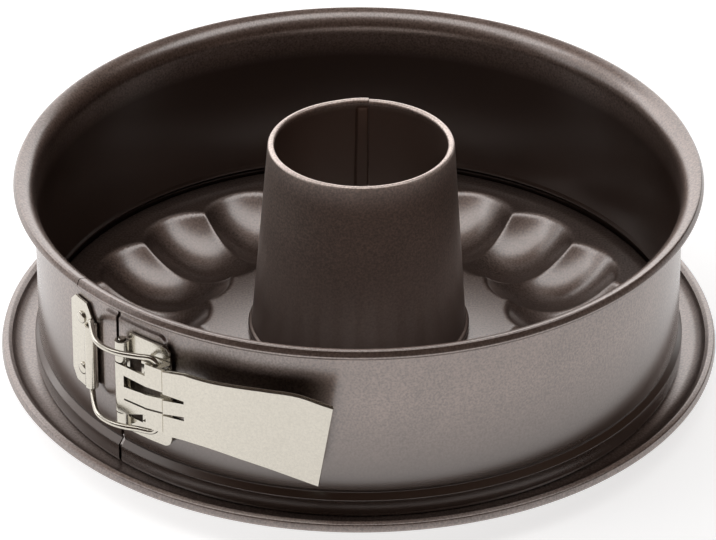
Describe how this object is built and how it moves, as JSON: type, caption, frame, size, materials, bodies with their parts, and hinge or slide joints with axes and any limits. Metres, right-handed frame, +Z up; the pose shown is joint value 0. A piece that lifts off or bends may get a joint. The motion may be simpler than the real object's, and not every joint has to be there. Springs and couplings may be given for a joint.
{
  "type": "springform pan",
  "caption": "Small round springform baking pan with a scalloped tube base, a drip channel and a split wall that a lever latch closes.",
  "frame": {"origin": "on the pan's axis, in the plane that the undersides of the bowls stand on", "axes": "+Z up along the pan's axis, -Y towards the viewer, with the latch at the front left"},
  "size_m": [0.2252, 0.2252, 0.0786],
  "materials": {
    "coating": "satin metallic non-stick coating",
    "tinned": "bright tin plate"
  },
  "bodies": {
    "base": {"base_plate": "coating", "tube": "coating"},
    "ring": {"band": "coating", "bracket": "tinned", "bracket_rivet_upper": "tinned", "bracket_rivet_lower": "tinned", "pivot_pin": "tinned"},
    "free_end": {"keeper_plate": "tinned", "keeper_rivet_upper": "tinned", "keeper_rivet_lower": "tinned"},
    "bail": {"bail": "tinned"},
    "lever": {"lever": "tinned"}
  },
  "joints": [
    {"name": "ring_lift", "type": "slide", "parent": "base", "child": "ring", "axis": [0, 0, 1], "range_m": [0, 0.08]},
    {"name": "lever_swing", "type": "hinge", "parent": "ring", "child": "lever", "pos_m": [-0.07093, -0.07606, 0.0405], "axis": [0, 0, -1], "range_deg": [0, 90]},
    {"name": "ring_spread", "type": "hinge", "parent": "ring", "child": "free_end", "pos_m": [0, 0, 0.0405], "axis": [0, 0, -1], "range_deg": [0, 4.6], "deforming": ["band"]},
    {"name": "bail_swing", "type": "hinge", "parent": "free_end", "child": "bail", "pos_m": [-0.08086, -0.06363, 0.0405], "axis": [0, 0, -1], "range_deg": [0, 28.5]}
  ],
  "couplings": [
    {"joint": "ring_spread", "follows": "lever_swing", "ratio": 0.0499},
    {"joint": "bail_swing", "follows": "lever_swing", "ratio": 0.3136}
  ]
}
